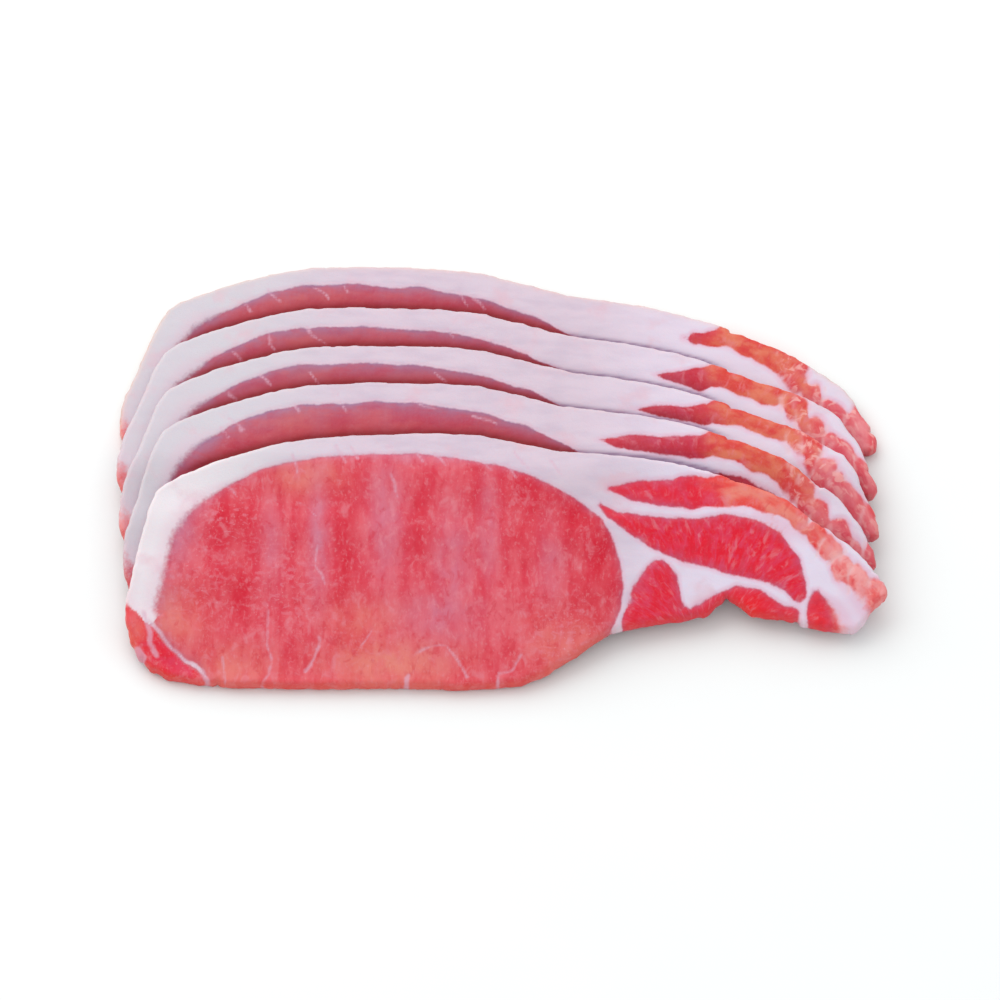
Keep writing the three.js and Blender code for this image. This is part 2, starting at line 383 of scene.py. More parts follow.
# The upper strand of the flank and the lean at its end, marked on the photo for each slice as a
# closed line round it
END_MARKS = [
    [
        (684, 337), (692, 333), (703, 331), (716, 330), (721, 327), (722, 318), (745, 325), (775, 340),
        (800, 352), (810, 368), (809, 381), (820, 384), (825, 396), (832, 398), (841, 402), (848, 408),
        (853, 413), (860, 406), (876, 416), (892, 440), (892, 458), (870, 472), (854, 450), (840, 430),
        (822, 412), (806, 402), (798, 394), (790, 385), (784, 379), (778, 371), (771, 366), (764, 362),
        (756, 358), (752, 354), (745, 354), (740, 351), (734, 347), (726, 345), (716, 344), (705, 344),
        (695, 341),
    ],
    [
        (660, 377), (670, 374), (685, 373), (700, 370), (709, 366), (713, 363), (716, 354), (745, 360),
        (780, 376), (800, 388), (809, 400), (811, 414), (820, 416), (827, 424), (830, 433), (840, 436),
        (850, 446), (858, 456), (865, 461), (876, 462), (890, 480), (884, 506), (864, 500), (846, 480),
        (830, 462), (818, 448), (804, 440), (797, 431), (789, 424), (784, 415), (779, 407), (771, 403),
        (763, 400), (755, 395), (742, 392), (730, 390), (721, 386), (710, 384), (700, 385), (690, 383),
        (680, 381), (668, 381),
    ],
    [
        (655, 412), (662, 408), (680, 410), (692, 408), (706, 404), (714, 401), (718, 397), (722, 388),
        (750, 396), (785, 414), (812, 434), (822, 447), (822, 457), (832, 459), (836, 467), (842, 479),
        (852, 487), (862, 498), (870, 507), (878, 502), (892, 508), (892, 538), (872, 548), (856, 532),
        (838, 514), (820, 500), (806, 484), (803, 468), (799, 459), (794, 451), (787, 445), (779, 440),
        (770, 437), (760, 433), (750, 431), (742, 427), (732, 423), (718, 423), (705, 423), (694, 419),
        (680, 420), (665, 419),
    ],
    [
        (630, 450), (640, 442), (660, 438), (680, 440), (692, 439), (702, 436), (707, 433), (710, 424),
        (745, 436), (780, 452), (806, 470), (812, 484), (811, 493), (817, 499), (824, 504), (828, 516),
        (842, 519), (850, 531), (857, 541), (862, 547), (868, 538), (882, 532), (886, 572), (868, 572),
        (852, 560), (836, 546), (818, 532), (800, 515), (790, 502), (785, 494), (780, 487), (774, 481),
        (766, 476), (758, 471), (750, 469), (740, 464), (730, 459), (718, 457), (704, 457), (690, 458),
        (672, 460), (650, 458),
    ],
    [
        (668, 480), (680, 477), (700, 477), (713, 479), (722, 477), (726, 468), (760, 480), (790, 490),
        (808, 506), (810, 520), (821, 524), (827, 532), (837, 544), (842, 555), (850, 562), (862, 571),
        (872, 580), (882, 583), (896, 584), (892, 606), (874, 618), (867, 612), (862, 603), (856, 595),
        (849, 589), (840, 584), (832, 578), (829, 570), (825, 560), (816, 554), (810, 546), (805, 540),
        (800, 534), (794, 528), (786, 520), (779, 515), (771, 513), (760, 511), (750, 508), (740, 504),
        (728, 505), (714, 504), (700, 506), (690, 507), (676, 504), (668, 500),
    ],
]

# The pale walls across the strand's end, which part it into beads, marked in the same way
WALL_MARKS = [
    [
        [(779, 350), (786, 374)], [(806, 374), (801, 400)], [(812, 380), (810, 404)],
        [(825, 388), (819, 408)], [(851, 410), (842, 428)],
    ],
    [
        [(781, 386), (784, 412)], [(797, 396), (794, 430)], [(811, 410), (808, 446)],
        [(828, 424), (822, 450)], [(841, 436), (826, 452)], [(856, 452), (848, 474)],
    ],
    [
        [(787, 422), (787, 452)], [(799, 430), (801, 458)], [(823, 448), (807, 482)],
        [(838, 468), (824, 492)], [(843, 478), (838, 502)], [(866, 500), (858, 522)],
    ],
    [
        [(785, 464), (787, 496)], [(798, 475), (793, 508)], [(813, 497), (806, 524)],
        [(829, 510), (826, 536)], [(851, 530), (846, 552)], [(863, 541), (859, 562)],
    ],
    [
        [(809, 519), (803, 542)], [(825, 528), (814, 554)], [(843, 553), (826, 562)],
        [(836, 561), (842, 586)], [(849, 561), (845, 592)], [(868, 575), (861, 602)],
    ],
]

# How often a mark's height is worked out again from the slices under it
MARK_ROUNDS = 120

# Where along each slice the frame's strand fades and by how much, where the marked one begins, how
# it tapers there and swells, and where its beads begin
END_START = [(40.0, 46.0), (45.0, 53.0), (45.0, 53.0), (45.0, 53.0), (40.0, 46.0)]
END_FADE = 12.0
STRAND_START = 38.0
STRAND_TAPER = 3.0
STRAND_TAPER_RUN = (44.0, 38.0)
STRAND_SWELL = 0.2
BEADS_START = (61.0, 68.0)

# The notches at the walls, as depth and reach, a wall's half width, and the breaks in it
WALL_NOTCH = (0.7, 0.8)
WALL_HALF = 0.5
WALL_BREAKS = 2.2
WALL_BREAK_RANGE = (-0.3, 0.4)

# The strand's colour along the slice: how deep it starts, what it loses, and where it turns warm
STRAND_DEEP = 0.9
STRAND_DEEP_LOSS = 0.65
STRAND_DEEP_RUN = (44.0, 54.0)
STRAND_WARM_RUN = (43.0, 51.0)

# How far muscles stand back in each slice, and along the slice the inner end of the upper strand
CHAIN_BACK = [3.0, 3.0, 3.0, 3.0, 0.0]
MIDDLE_BACK = [9.0, 9.0, 4.0, 0.8, 0.0]
UPPER_BACK = [1.2, 2.6, 2.2, 0.8, 0.0]
UPPER_BACK_RUN = (47.0, 40.0)

# How the loin's colour changes across its plan: soft patches with place, reach and strength
LILAC_PATCHES = [
    (-42.3, 32.0, 2.2, 14.0, 0.9), (-27.0, 36.0, 4.0, 14.0, 0.7), (-12.0, 26.0, 4.5, 12.0, 0.65),
    (-15.0, 15.0, 9.0, 6.0, 0.7), (-4.0, 34.0, 2.5, 12.0, 0.6), (-74.0, 36.0, 4.0, 8.0, 0.7),
    (10.0, 27.0, 3.0, 9.0, 0.5), (-53.0, 30.0, 2.5, 10.0, 0.5), (-20.0, 50.0, 12.0, 2.0, 0.6),
    (32.5, 34.6, 4.5, 2.4, 0.9), (27.0, 37.0, 2.5, 1.5, 0.6),
]
RED_PATCHES = [
    (-61.5, 36.0, 5.5, 7.0, 1.0), (-60.0, 21.0, 4.0, 7.0, 0.9), (-66.0, 18.0, 5.0, 5.0, 0.6),
    (6.0, 44.0, 9.0, 6.0, 1.0), (-7.0, 41.0, 4.0, 8.0, 0.7), (-36.0, 29.0, 3.0, 13.0, 0.8),
    (22.0, 30.0, 6.0, 13.0, 1.0), (-19.0, 33.0, 3.0, 11.0, 0.7), (14.0, 38.0, 10.0, 10.0, 1.0),
    (6.0, 34.0, 8.0, 6.0, 0.7), (20.0, 21.0, 6.0, 8.0, 0.7), (55.0, 18.0, 5.0, 4.0, 1.0),
    (67.0, 15.5, 5.0, 4.0, 0.8),
]
SALMON_PATCHES = [
    (-26.0, 5.0, 15.0, 6.0, 1.0), (-45.0, 46.0, 8.0, 4.0, 0.8), (-75.0, 15.0, 7.0, 8.0, 0.8),
    (-62.0, 4.0, 10.0, 5.0, 0.7), (-32.0, 14.0, 10.0, 5.0, 0.6), (14.0, 8.0, 10.0, 8.0, 0.6),
]
# Where the pale strokes and dots gather, the dots partly painted wet glints
FLECK_PATCHES = [
    (-64.0, 38.0, 9.0, 8.0, 1.0), (-70.0, 24.0, 9.0, 10.0, 0.8), (-50.0, 22.0, 12.0, 13.0, 0.8),
    (13.0, 11.0, 9.0, 8.0, 1.0), (1.0, 40.0, 9.0, 6.0, 0.5), (-30.0, 9.0, 12.0, 6.0, 0.4),
]

# Where the front slice's chain turns orange
CHAIN_PATCHES = [(-83.6, 12.6, 2.6, 5.0, 0.5), (-72.0, -1.0, 8.0, 1.8, 0.3)]

# The thin wall between the chain and the loin of the front slice, marked on the photo, and the part
# of its plan that is lean on both sides of that wall
SEPTUM_MARKS = [(130, 600), (145, 612), (155, 622), (165, 635), (178, 650), (195, 662), (208, 675)]
SEPTUM_HALF = 0.1
SEPTUM_SIDES = [
    (-92.0, 19.5), (-86.5, 19.0), (-83.0, 16.2), (-80.8, 13.9), (-79.0, 14.6), (-76.5, 16.5), (-73.0, 15.0),
    (-62.0, 8.0), (-62.0, -6.0), (-92.0, -6.0),
]

# Where a border between fat and lean lies other than in the construction: place and reach in
# the plan, and how far the lean draws back
BORDER_SHIFTS = [
    (-79.0, 29.0, 5.0, 12.0, 1.2),
    (67.5, 16.2, 3.6, 4.0, -1.1),
    (74.5, 15.3, 4.0, 3.0, -0.9),
    (70.0, 17.0, 1.6, 6.0, -0.35),
]

# How the border softens at both ends of a slice: the runs along and across it, and how much
LEFT_SOFT_RUN = (-62.0, -74.0)
LEFT_SOFT_HEIGHT = (11.0, 18.0)
RIGHT_SOFT_RUN = (70.0, 76.0)
RIGHT_SOFT_HEIGHT = (24.0, 16.0)
SOFTENING = 3.0

# Painted shade where the next slice lies on this one, standing in for the shadow of its edge: its start,
# its width, and the runs along the slice over which it loses a share
CONTACT_SHADE_START = 2.0
CONTACT_SHADE_WIDTH = 2.4
CONTACT_SHADE_LOSSES = [(46.0, 56.0, 0.4), (-66.0, -80.0, 0.5)]

# The mauve veil under the fat cap: its depth and strength in each slice, and where it ends
VEIL_DEPTH = [1.9, 2.7, 2.7, 2.4, 0.9]
VEIL_STRENGTH = [1.0, 1.0, 1.0, 1.0, 0.45]
VEIL_END = (38.0, 46.0)
VEIL_FLANK_LOSS = 0.8

# Other runs along the slice: the front slice's pale fat, and the pink outer end of the strand
PALE_FAT_RUN = (-44.0, -74.0)
PINK_RUN = (68.0, 76.0)
# The width of the tint along the cut edge: orange on the lean, partly its own colour and partly painted
# light on the shaded edge wall, and tan on the fat
RIM_TINT_WIDTH = 0.5
REAR_TAN = 0.25
FRONT_BEADS = 0.5


def spot(u, v, place_u, place_v, reach_u, reach_v):
    """A soft round spot, 1 in its middle."""
    return np.exp(-((u - place_u) / reach_u) ** 2 - ((v - place_v) / reach_v) ** 2)


def patches(u, v, table):
    """The strongest of a table's soft patches at each point."""
    return np.max([strength * spot(u, v, *place) for *place, strength in table], axis=0)


def fading(distance, width):
    """From 1 at an edge down to 0 inside it, for a distance that is negative inside."""
    return np.exp(np.clip(distance, -60.0, 0.0) / width)


def along_fibres(u, v):
    """Places along and across the fibres of the flank."""
    du, dv = u - FLANK_PIVOT[0], v - FLANK_PIVOT[1]
    return FLANK_RADIUS * np.arctan2(dv, du), np.hypot(du, dv)


def closed_distance(x, y, points):
    """Signed distance to a closed line through a few points, negative inside."""
    segments = zip(points, points[1:] + points[:1])
    return signed_distance(x, y, list(segments))


def nearest_line(x, y, lines):
    """Distance to the nearest of a few open lines."""
    return np.min([line_distance(x, y, points) for points in lines], axis=0)


def outline_distance(level, x, y):
    """Signed distance to a slice's outer edge, with the distances to its fat and to each muscle."""
    name = f"slice_{level + 1}"
    edges = {part: plan_segments(f"{name}_{part}") for part in ["fat", *MUSCLES]}
    distances = {part: signed_distance(x, y, segments) for part, segments in edges.items()}
    nearest = np.min(list(distances.values()), axis=0)
    border = np.abs(signed_distance(x, y, outer_segments(list(edges.values()))))
    inside = (nearest < SEAM_SHARE * SEAM_GAP) | (border > nearest + BORDER_SLACK)
    return np.where(inside, -border, border), distances


def cut_edge(whole, u, v, noise, spacing):
    """The outer edge, rounded back where it faces the viewer, and wavy as cut."""
    facing = np.clip(-np.gradient(whole, spacing)[0], 0.0, 1.0)
    whole = whole + FRONT_EDGE_BACK * facing
    whole = whole + EDGE_WAVE[0] * noise.layers(u, v, EDGE_WAVE[1]) + noise.wave(u, v, *EDGE_GRAIN)
    return whole + step_between(u, *END_WAVE_RUN) * noise.wave(u, v, *END_WAVE)


def nearest_part(distances, level, u):
    """Of the frame's muscles at each point: the distance to the nearest, and its colour character."""
    shape = distances["fat"].shape
    muscle = np.full(shape, FAR)
    character = {key: np.zeros(shape) for key in ("warm", "deep", "flank", "chain")}
    drawn_back = {
        "chain": CHAIN_BACK[level],
        "flank_middle": MIDDLE_BACK[level],
        "flank_upper": UPPER_BACK[level] * step_between(u, *UPPER_BACK_RUN),
    }
    for part, colour_of in MUSCLES.items():
        distance = distances[part] + drawn_back.get(part, 0.0)
        nearer = distance < muscle
        muscle = np.where(nearer, distance, muscle)
        marks = {**colour_of, "flank": float(part.startswith("flank")), "chain": float(part == "chain")}
        for key, field in character.items():
            character[key] = np.where(nearer, marks[key], field)
    return muscle, character


def nick_lines(level):
    """The nicks of a slice, each reaching up into the fat."""
    lines = []
    for marks in NICK_MARKS[level]:
        top, bottom = (Vector(point) for point in on_slice(level, marks))
        lines.append([tuple(top + NICK_REACH * (top - bottom).normalized()), tuple(bottom)])
    return lines


def marked_strand(level, u, wander):
    """The marked lean of the flank's upper strand: its signed distance, and that to its walls."""
    walls = nearest_line(*wander, [on_slice(level, marks) for marks in WALL_MARKS[level]])
    strand = closed_distance(*wander, on_slice(level, END_MARKS[level]))
    strand = strand + WALL_NOTCH[0] * np.exp(-(walls / WALL_NOTCH[1]) ** 2) - STRAND_SWELL
    if level < FRONT:
        strand = strand + STRAND_TAPER * step_between(u, *STRAND_TAPER_RUN)
    return strand, walls


def lean_border(lean, level, u, v, flank, end, noise):
    """The lean's border: wavy, combed along the flank's lower edge, and soft at both ends."""
    comb = flank * step_between(v, *LEAN_COMB_RUN) * noise.wave(u, v + COMB_SHIFT, *LEAN_COMB)
    lean = lean + LEAN_WAVE[0] * noise.layers(u + WAVE_SHIFT, v, LEAN_WAVE[1]) + comb * (1.0 - end)
    left_end = step_between(u, *LEFT_SOFT_RUN)
    if level < FRONT:
        lean = lean + noise.wave(u + STEP_SHIFT, v, *LEAN_STEPS)
    else:
        left_end = left_end * step_between(v, *LEFT_SOFT_HEIGHT)
    right_end = step_between(u, *RIGHT_SOFT_RUN) * step_between(v, *RIGHT_SOFT_HEIGHT)
    return lean / (1.0 + SOFTENING * np.maximum(left_end, right_end))


def contact_shade_of(level, x, y, u, chain):
    """Painted shade along the edge of the next slice, which lies on this one: its contact shadow as a
    colour field.
    """
    if level == FRONT:
        return np.zeros(x.shape)
    cover, _ = outline_distance(level + 1, x, y)
    contact_shade = np.exp(-np.clip(cover - CONTACT_SHADE_START, 0.0, None) / CONTACT_SHADE_WIDTH) * (1.0 - chain)
    for low, high, share in CONTACT_SHADE_LOSSES:
        contact_shade = contact_shade * (1.0 - share * step_between(u, low, high))
    return contact_shade


def slice_fields(level, x, y):
    """What a slice is at each point of its plan: its edge, lean, veins and colour character."""
    u, v = to_pattern(*to_plan(x, y, SLICE_LAYS[level]), SLICE_LAYS[level])
    noise = Noise(FIELD_SEED + level)
    rear = float(level < FRONT)
    whole, distances = outline_distance(level, x, y)
    whole = cut_edge(whole, u, v, noise, x[0, 1] - x[0, 0])
    wander_u = u + noise.wave(u, v, *LINE_WANDER)
    wander_v = v + noise.wave(u + WANDER_SHIFT, v, *LINE_WANDER)
    wander = (wander_u, wander_v)

    # The lean: the frame's muscles, and along the flank's upper strand the marked one
    end = step_between(u, *END_START[level])
    for part in ("flank_upper", "flank_tip"):
        distances[part] = distances[part] + END_FADE * end
    muscle, character = nearest_part(distances, level, u)
    warm, deep, flank, chain = (character[key] for key in ("warm", "deep", "flank", "chain"))
    lean = 0.5 * (muscle - distances["fat"])
    for *place, shift in BORDER_SHIFTS:
        lean = lean + shift * spot(u, v, *place)
    if level == FRONT:
        beside = closed_distance(*wander, SEPTUM_SIDES) < 0
        septum = line_distance(*wander, on_slice(level, SEPTUM_MARKS))
        lean = np.where(beside, np.minimum(lean, SEPTUM_HALF - septum), lean)
    marked, walls = marked_strand(level, u, wander)
    in_end = (marked < lean) & (u > STRAND_START)
    lean = np.where(u > STRAND_START, np.minimum(lean, marked), lean)
    flank = np.where(in_end, 1.0, flank)
    breaks = step_between(noise.sample(u, v + WANDER_SHIFT, WALL_BREAKS), *WALL_BREAK_RANGE)
    wall = in_end * np.exp(-(walls / WALL_HALF) ** 2) * breaks

    # The strand's colour goes from dark red to orange on its way to the end
    along, across = along_fibres(u, v)
    strand = np.where(in_end, 1.0, flank * step_between(across, *STRAND_RING))
    shade_u = u + noise.wave(u, v, *SHADE_WAVE)
    deep = np.where(in_end, STRAND_DEEP - STRAND_DEEP_LOSS * step_between(shade_u, *STRAND_DEEP_RUN), deep)
    warm = np.where(in_end, 0.0, warm)
    warm = np.clip(warm + strand * step_between(shade_u, *STRAND_WARM_RUN), 0.0, 1.0)
    pale_chain = chain * (level < FRONT - 1)
    warm = warm + pale_chain + chain * (level == FRONT) * patches(u, v, CHAIN_PATCHES)

    lean = lean_border(lean, level, u, v, flank, end, noise)
    vein = nearest_line(*wander, nick_lines(level))
    if level == FRONT:
        for points, half in VEINS:
            vein = np.minimum(vein, line_distance(*wander, points) - half)
    veil = fading(lean, VEIL_DEPTH[level]) * VEIL_STRENGTH[level] * (1.0 - chain)
    veil = veil * (1.0 - strand * step_between(u, *VEIL_END)) * (1.0 - VEIL_FLANK_LOSS * rear * flank)
    loin = 1.0 - flank
    return {
        "whole": whole, "lean": lean, "vein": vein, "wall": wall, "warm": warm, "deep": deep,
        "veil": veil, "flank": flank, "u": u, "v": v, "along": along, "across": across,
        "contact_shade": contact_shade_of(level, x, y, u, chain),
        "lilac": patches(u, v, LILAC_PATCHES),
        "red": np.maximum(loin, flank) * patches(u, v, RED_PATCHES),
        "salmon": loin * patches(u, v, SALMON_PATCHES),
        "flecks": loin * patches(u, v, FLECK_PATCHES),
        # Where the loin takes the darker strip colour on the slices under the front one: painted shade
        "rear": rear * (1.0 - chain) * loin,
        "front": np.full(x.shape, 1.0 - rear),
        "pale": step_between(u, *PALE_FAT_RUN) * (1.0 - rear),
        # Near the outer edge: the orange edge tint on lean, partly painted light, and the tan line on fat
        "rim": fading(whole, RIM_TINT_WIDTH),
        "tan": np.full(x.shape, 1.0 if level == 0 else REAR_TAN),
        "pink": strand * step_between(u, *PINK_RUN) + pale_chain,
        "end": strand * step_between(u, *BEADS_START) * (1.0 if rear else FRONT_BEADS),
    }


def relief(fields, level):
    """How far the cut face stands above or below its flat height."""
    noise = Noise(RELIEF_SEED + level)
    u, v, lean, flank = fields["u"], fields["v"], fields["lean"], fields["flank"]
    dome = DOME[0] * (1.0 - np.exp(-np.clip(-lean, 0.0, None) / DOME[1]))
    groove = GROOVE[0] * np.exp(-((lean - GROOVE_PLACE) / GROOVE[1]) ** 2)
    vein = VEIN_GROOVE[0] * np.exp(-(np.clip(fields["vein"], 0.0, None) / VEIN_GROOVE[1]) ** 2)
    wall = WALL_GROOVE * fields["wall"]
    grain = LEAN_GRAIN[0] * noise.layers(u, v, LEAN_GRAIN[1], 2)
    fibres = noise.wave(fields["along"], fields["across"], *LEAN_FIBRES)
    lean_relief = noise.wave(u, v, *LEAN_BANDS) + grain * (1.0 - flank) + fibres * flank
    fat_relief = FAT_WAVE[0] * noise.layers(u, v, FAT_WAVE[1], 2)
    is_lean = step_between(-lean, *RELIEF_CHANGE)
    return dome - groove - vein - wall - FACE_SINK + is_lean * lean_relief + (1.0 - is_lean) * fat_relief


# Meshing

def contour(values, spacing):
    """Triangles of the region where values are negative, with its border cut through the cells.

    Returns the triangles, the border points as pairs of grid points with a weight, and the border loops.
    Indices past the grid's size mean border points."""
    rows, columns = values.shape
    flat = values.ravel().copy()
    least = LEAST_CROSSING * spacing
    flat = np.where(np.abs(flat) < least, np.where(flat < 0, -least, least), flat)
    inside = flat < 0
    index = np.arange(rows * columns).reshape(rows, columns)
    a, b = index[:-1, :-1].ravel(), index[:-1, 1:].ravel()
    c, d = index[1:, 1:].ravel(), index[1:, :-1].ravel()
    triangles = np.concatenate([np.stack([a, b, c], 1), np.stack([a, c, d], 1)])
    count = inside[triangles].sum(axis=1)
    kept = [tuple(t) for t in triangles[count == 3]]
    crossings, pairs, following = {}, [], {}

    def crossing(p, q):
        key = (p, q) if p < q else (q, p)
        if key not in crossings:
            crossings[key] = rows * columns + len(pairs)
            pairs.append((key[0], key[1], flat[key[0]] / (flat[key[0]] - flat[key[1]])))
        return crossings[key]

    for p, q, r in triangles[(count == 1) | (count == 2)]:
        while inside[q] != inside[r]:
            p, q, r = q, r, p
        first, last = crossing(p, q), crossing(p, r)
        if inside[p]:
            kept.append((p, first, last))
            following[first] = last
        else:
            kept.append((first, q, r))
            kept.append((first, r, last))
            following[last] = first
    return np.array(kept), pairs, loops_of(following)


def loops_of(following):
    loops = []
    while following:
        start, point = following.popitem()
        loop = [start]
        while point != start:
            loop.append(point)
            point = following.pop(point)
        loops.append(loop)
    return loops


def interpolate(field, x, y, origin, spacing):
    """A grid field's value between its points."""
    a = np.clip((x - origin[0]) / spacing, 0, field.shape[1] - 1.001)
    b = np.clip((y - origin[1]) / spacing, 0, field.shape[0] - 1.001)
    i, j = a.astype(int), b.astype(int)
    s, t = a - i, b - j
    near = field[j, i] * (1 - s) + field[j, i + 1] * s
    far = field[j + 1, i] * (1 - s) + field[j + 1, i + 1] * s
    return near * (1 - t) + far * t


def slice_grid(level, spacing):
    """Points of a square grid over the plan of a slice."""
    nodes = [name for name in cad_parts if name.startswith(f"slice_{level + 1}_")]
    low = np.min([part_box(name)[0] for name in nodes], axis=0) / MM - GRID_MARGIN
    high = np.max([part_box(name)[1] for name in nodes], axis=0) / MM + GRID_MARGIN
    return np.meshgrid(np.arange(low[0], high[0], spacing), np.arange(low[1], high[1], spacing))


def rim_rings(level, x, y, out_x, out_y, face_relief, crag):
    """The rings of a rim round its loop of points, from the top face down to the bottom one."""
    walk = np.cumsum(np.hypot(x - np.roll(x, 1), y - np.roll(y, 1)))
    power = 2.0 / RIM_SQUARENESS
    for step in range(1, RIM_STEPS + 1):
        angle = math.pi * step / (RIM_STEPS + 1)
        reach = RIM_WIDTH * math.sin(angle) ** power
        rise = math.copysign(abs(math.cos(angle)) ** power, math.cos(angle))
        rough = 1.0 + crag.wave(walk, np.full_like(walk, RIM_CRAG_STEP * step), *RIM_CRAG)
        ring_x = x + out_x * reach * rough
        ring_y = y + out_y * reach * rough
        taken = (RIM_RELIEF if rise > 0 else UNDERSIDE_RELIEF) * abs(rise)
        height = underside(ring_x, ring_y, level) + SLICE_THICKNESS * 0.5 * (1.0 + rise)
        yield ring_x, ring_y, height + face_relief * taken


def slice_mesh(level, spacing):
    """The closed mesh of a slice: both cut faces, and a rounded rim between them."""
    x, y = slice_grid(level, spacing)
    fields = slice_fields(level, x, y)
    fields["relief"] = relief(fields, level)
    triangles, pairs, loops = contour(fields["whole"] + RIM_WIDTH, spacing)
    origin = (x[0, 0], y[0, 0])

    def read(field, at_x, at_y):
        return interpolate(field, at_x, at_y, origin, spacing)

    grid_x, grid_y = x.ravel(), y.ravel()
    first, second, weight = (np.array(part) for part in zip(*pairs))
    all_x = np.concatenate([grid_x, grid_x[first] + (grid_x[second] - grid_x[first]) * weight])
    all_y = np.concatenate([grid_y, grid_y[first] + (grid_y[second] - grid_y[first]) * weight])
    used, compact = np.unique(triangles, return_inverse=True)
    faces = compact.reshape(-1, 3)
    renumber = {old: new for new, old in enumerate(used)}
    face_x, face_y = all_x[used], all_y[used]
    count = len(used)

    base = underside(face_x, face_y, level)
    face_relief = read(fields["relief"], face_x, face_y)
    rings = [
        (face_x, face_y, base + SLICE_THICKNESS + face_relief),
        (face_x, face_y, base + UNDERSIDE_RELIEF * face_relief),
    ]
    all_faces = [faces, faces[:, ::-1] + count]
    offset = 2 * count
    slope_y, slope_x = np.gradient(fields["whole"], spacing)
    crag = Noise(CRAG_SEED + level)
    for loop in loops:
        previous = top_ring = np.array([renumber[i] for i in loop])
        loop_x, loop_y = face_x[top_ring], face_y[top_ring]
        out_x, out_y = read(slope_x, loop_x, loop_y), read(slope_y, loop_x, loop_y)
        size = np.hypot(out_x, out_y) + TINY
        at_loop = read(fields["relief"], loop_x, loop_y)
        for ring in rim_rings(level, loop_x, loop_y, out_x / size, out_y / size, at_loop, crag):
            rings.append(ring)
            current = offset + np.arange(len(loop))
            offset += len(loop)
            all_faces.append(ring_faces(previous, current))
            previous = current
        all_faces.append(ring_faces(previous, top_ring + count))

    point_x, point_y, height = (np.concatenate(part) for part in zip(*rings))
    values = {key: read(fields[key], point_x, point_y) for key in SHADER_FIELDS}
    u, v = to_pattern(*to_plan(point_x, point_y, SLICE_LAYS[level]), SLICE_LAYS[level])
    lifted = height + PATTERN_LIFT * level
    values["plan"] = np.stack([u, v, lifted], 1)
    values["fibre"] = np.stack([*along_fibres(u, v), lifted], 1)
    points = np.stack([point_x, point_y, np.maximum(height, 0.0)], 1)
    return points, np.concatenate(all_faces), values


def ring_faces(first, second):
    """Triangles between two rings of the same length."""
    a, b = first, np.roll(first, -1)
    c, d = np.roll(second, -1), second
    return np.concatenate([np.stack([b, a, d], 1), np.stack([b, d, c], 1)])


def build_slice(level, material):
    spacing = FRONT_SPACING if level == FRONT else REAR_SPACING
    points, faces, values = slice_mesh(level, spacing)
    name = f"rasher_{level + 1}"
    mesh = bpy.data.meshes.new(name)
    mesh.from_pydata(points * MM, [], faces.tolist())
    mesh.validate()
    for key, data in values.items():
        kind, slot = ("FLOAT_VECTOR", "vector") if data.ndim == 2 else ("FLOAT", "value")
        attribute = mesh.attributes.new(name=key, type=kind, domain="POINT")
        attribute.data.foreach_set(slot, data.astype(np.float32).ravel())
    mesh.shade_smooth()
    mesh.materials.append(material)
    piece = bpy.data.objects.new(name, mesh)
    bpy.context.scene.collection.objects.link(piece)
    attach(piece, "root")
    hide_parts(*[f"slice_{level + 1}_{part}" for part in ["fat", *MUSCLES]])


# Materials

class Graph:
    """Short names for the nodes of one material."""

    def __init__(self, name):
        self.material = bpy.data.materials.new(name)
        self.material.use_nodes = True
        self.tree = self.material.node_tree
        self.shader = self.tree.nodes["Principled BSDF"]

    def put(self, socket, value):
        if isinstance(value, bpy.types.NodeSocket):
            self.tree.links.new(value, socket)
        else:
            socket.default_value = value

    def attribute(self, name, output="Fac"):
        node = self.tree.nodes.new("ShaderNodeAttribute")
        node.attribute_name = name
        return node.outputs[output]

    def math(self, operation, *values):
        node = self.tree.nodes.new("ShaderNodeMath")
        node.operation = operation
        for socket, value in zip(node.inputs, values):
            self.put(socket, value)
        return node.outputs[0]

    def times(self, first, second):
        return self.math("MULTIPLY", first, second)

    def ramp(self, value, low, high, start=0.0, end=1.0):
        node = self.tree.nodes.new("ShaderNodeMapRange")
        node.interpolation_type = "SMOOTHSTEP"
        entries = {"Value": value, "From Min": low, "From Max": high, "To Min": start, "To Max": end}
        for key, entry in entries.items():
            self.put(node.inputs[key], entry)
        return node.outputs[0]

    def stretch(self, vector, scale):
        node = self.tree.nodes.new("ShaderNodeMapping")
        self.put(node.inputs["Vector"], vector)
        node.inputs["Scale"].default_value = scale
        return node.outputs[0]

    def noise(self, vector, scale, detail=2.0, roughness=0.5, distortion=0.0):
        node = self.tree.nodes.new("ShaderNodeTexNoise")
        self.put(node.inputs["Vector"], vector)
        node.inputs["Scale"].default_value = scale
        node.inputs["Detail"].default_value = detail
        node.inputs["Roughness"].default_value = roughness
        node.inputs["Distortion"].default_value = distortion
        return node.outputs["Fac"]

    def split(self, vector):
        node = self.tree.nodes.new("ShaderNodeSeparateXYZ")
        self.put(node.inputs[0], vector)
        return node.outputs

    def mix(self, factor, first, second, blend="MIX"):
        node = self.tree.nodes.new("ShaderNodeMix")
        node.data_type = "RGBA"
        node.blend_type = blend
        self.put(node.inputs["Factor"], factor)
        self.put(node.inputs[6], first)
        self.put(node.inputs[7], second)
        return node.outputs[2]


